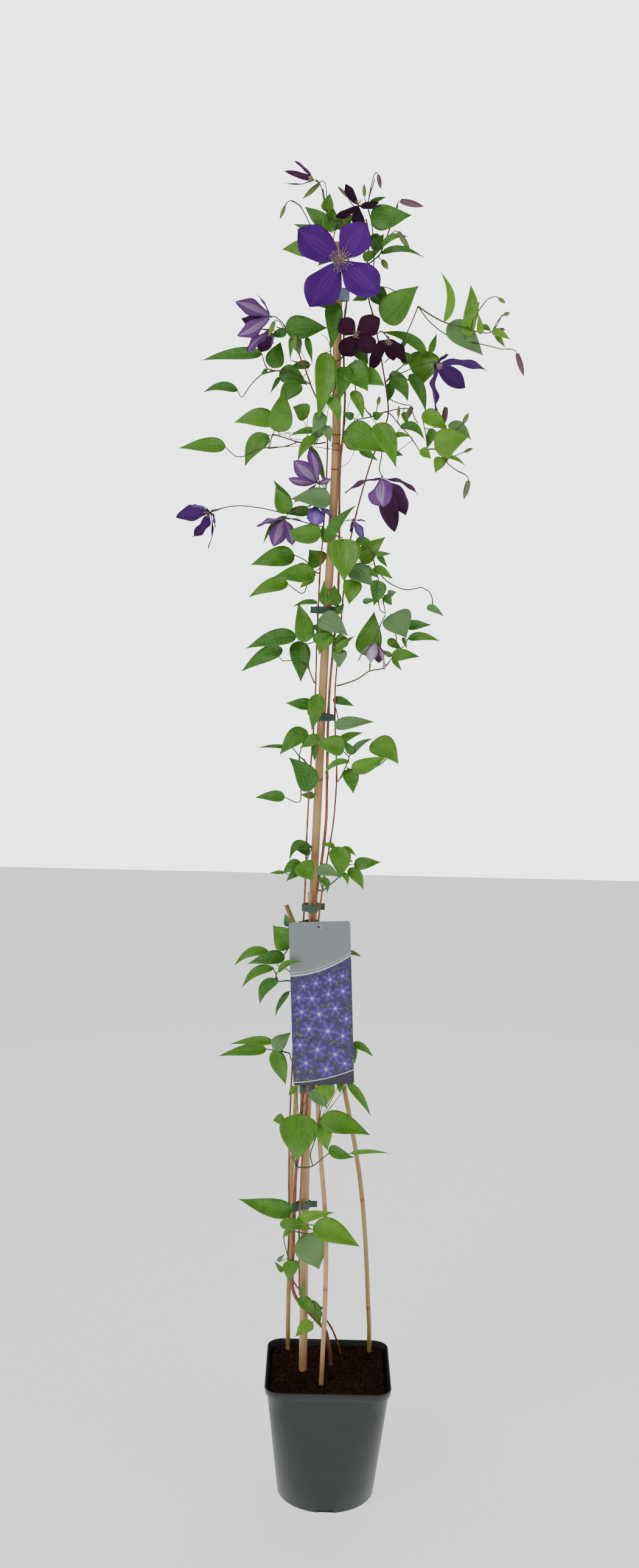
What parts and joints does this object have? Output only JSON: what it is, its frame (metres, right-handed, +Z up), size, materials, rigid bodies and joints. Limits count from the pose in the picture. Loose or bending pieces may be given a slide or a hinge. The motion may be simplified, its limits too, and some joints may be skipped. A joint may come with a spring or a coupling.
{
  "type": "potted climbing plant",
  "caption": "Clematis trained up bamboo canes in a tapered square pot, with violet blooms, leaf sprays, plastic ties and a hanging label.",
  "frame": {"origin": "centre of the pot's base, on the ground", "axes": "+Z up along the canes, +X to the viewer's right, +Y away from the viewer"},
  "size_m": [0.4991, 0.19, 1.989],
  "materials": {
    "pot_plastic": "satin moulded",
    "potting_soil": "crumbly peat",
    "bamboo": "smooth cane",
    "cane_tan": "smooth cane",
    "vine_bark": "thin peeling bark",
    "tie_plastic": "matte strap",
    "label_card": "printed film card",
    "leaf_green": "soft leaf",
    "blue": "velvety petal",
    "dusk": "velvety petal",
    "lilac": "velvety petal",
    "maroon": "velvety petal",
    "pink": "velvety petal",
    "violet": "velvety petal",
    "white": "velvety petal"
  },
  "bodies": {
    "root": {"pot": "pot_plastic", "soil": "potting_soil", "cane_main": "bamboo", "cane_front": "bamboo", "cane_left": "cane_tan", "cane_right": "cane_tan", "vine_main": "vine_bark", "vine_left": "vine_bark", "vine_right": "vine_bark", "tie_1800": "tie_plastic", "tie_1349": "tie_plastic", "tie_1192": "tie_plastic", "tie_908": "tie_plastic", "tie_885": "tie_plastic", "tie_632": "tie_plastic", "tie_448": "tie_plastic", "label": "label_card", "spray_crown": "leaf_green", "spray_crown_right": "leaf_green", "spray_far_right": "leaf_green", "spray_right_upper": "leaf_green", "spray_left_upper": "leaf_green", "spray_left_far": "leaf_green", "spray_left_mid": "leaf_green", "spray_front_upper": "leaf_green", "spray_right_inner": "leaf_green", "spray_right_outer": "leaf_green", "spray_left_low": "leaf_green", "spray_front_mid": "leaf_green", "spray_left_1420": "leaf_green", "spray_right_1420": "leaf_green", "spray_left_1300": "leaf_green", "spray_front_1330": "leaf_green", "spray_right_1320": "leaf_green", "spray_1200": "leaf_green", "spray_1200_right": "leaf_green", "spray_left_1140": "leaf_green", "spray_right_1140": "leaf_green", "spray_left_970": "leaf_green", "spray_right_970": "leaf_green", "spray_850": "leaf_green", "spray_700": "leaf_green", "spray_580": "leaf_green", "spray_400": "leaf_green", "spray_300": "leaf_green", "bloom_top_left": "pink", "bloom_top": "dusk", "bloom_main": "violet", "bloom_maroon": "maroon", "bloom_maroon_low": "maroon", "bloom_left_upper": "lilac", "bloom_left_lower": "lilac", "bloom_right": "blue", "bloom_far_left": "blue", "bloom_1545": "lilac", "bloom_1460": "lilac", "bloom_1485": "blue", "bloom_1475_right": "blue", "bloom_wide": "lilac", "bloom_low": "white"}
  },
  "joints": []
}
